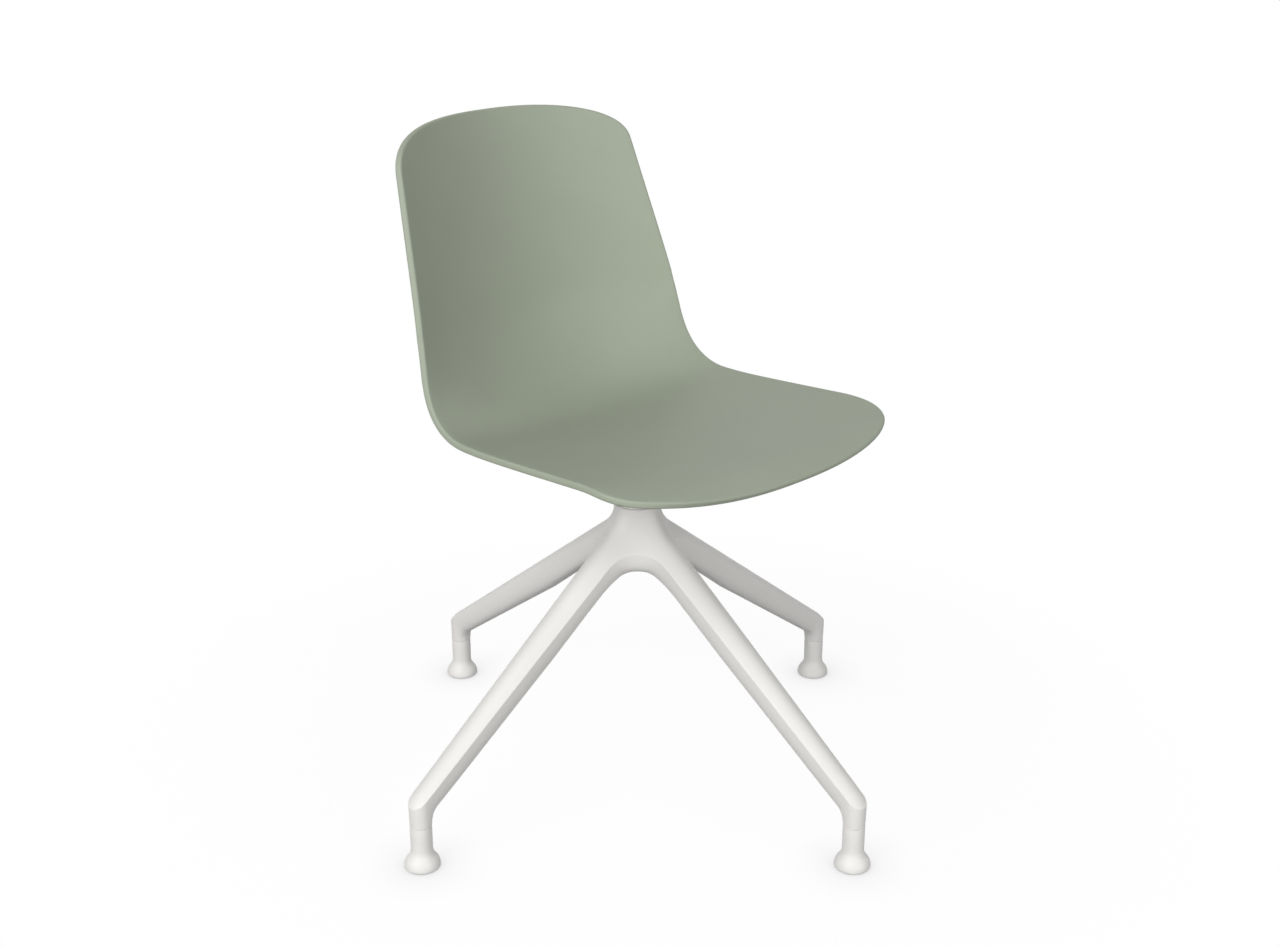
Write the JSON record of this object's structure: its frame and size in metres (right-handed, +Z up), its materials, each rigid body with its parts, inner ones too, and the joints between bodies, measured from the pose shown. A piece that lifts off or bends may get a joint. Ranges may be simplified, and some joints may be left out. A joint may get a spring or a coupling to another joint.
{
  "type": "star base side chair",
  "caption": "Side chair with a one-piece curved plastic seat and back shell that swivels on a cast star base with sloping legs and screw-in levelling glides.",
  "frame": {"origin": "on the floor, on the swivel axis, midway between the four glides", "axes": "+Z up, the sitter faces -Y, +X is on the sitter's left"},
  "size_m": [0.7302, 0.7302, 0.7863],
  "materials": {
    "shell_plastic": "fine matt grain, sage green",
    "base_paint": "powder coat on cast aluminium, warm white, satin",
    "glide_paint": "powder coat on cast aluminium, warm white, satin",
    "tube_paint": "powder coat on steel, warm white, satin",
    "cap_plastic": "moulded, warm white",
    "bush_acetal": "moulded, natural off-white",
    "pad_nylon": "moulded, dark grey",
    "turned_steel": "turned",
    "zinc_steel": "zinc plated",
    "brass_insert": "knurled brass, bare"
  },
  "bodies": {
    "base": {"base_casting": "base_paint", "leg_inserts": "brass_insert", "upper_bush": "bush_acetal", "lower_bush": "bush_acetal", "hub_cap": "cap_plastic"},
    "seat": {"spindle": "turned_steel", "retaining_washer": "zinc_steel", "snap_ring": "zinc_steel", "column_tube": "tube_paint", "seat_plate": "tube_paint", "seat_screws": "zinc_steel", "seat_screw_washers": "zinc_steel", "seat_inserts": "brass_insert", "seat_shell": "shell_plastic"},
    "levelling_glide_left": {"glide_left": "glide_paint", "glide_stud_left": "zinc_steel", "glide_pad_left": "pad_nylon"},
    "levelling_glide_rear": {"glide_rear": "glide_paint", "glide_stud_rear": "zinc_steel", "glide_pad_rear": "pad_nylon"},
    "levelling_glide_right": {"glide_right": "glide_paint", "glide_stud_right": "zinc_steel", "glide_pad_right": "pad_nylon"},
    "levelling_glide_front": {"glide_front": "glide_paint", "glide_stud_front": "zinc_steel", "glide_pad_front": "pad_nylon"}
  },
  "joints": [
    {"name": "seat_swivel", "type": "hinge", "parent": "base", "child": "seat", "pos_m": [0, 0, 0.3485], "axis": [0, 0, 1], "continuous": true},
    {"name": "glide_level_left", "type": "slide", "parent": "base", "child": "levelling_glide_left", "axis": [0, 0, -1], "range_m": [0, 0.008]},
    {"name": "glide_level_rear", "type": "slide", "parent": "base", "child": "levelling_glide_rear", "axis": [0, 0, -1], "range_m": [0, 0.008]},
    {"name": "glide_level_right", "type": "slide", "parent": "base", "child": "levelling_glide_right", "axis": [0, 0, -1], "range_m": [0, 0.008]},
    {"name": "glide_level_front", "type": "slide", "parent": "base", "child": "levelling_glide_front", "axis": [0, 0, -1], "range_m": [0, 0.008]}
  ]
}
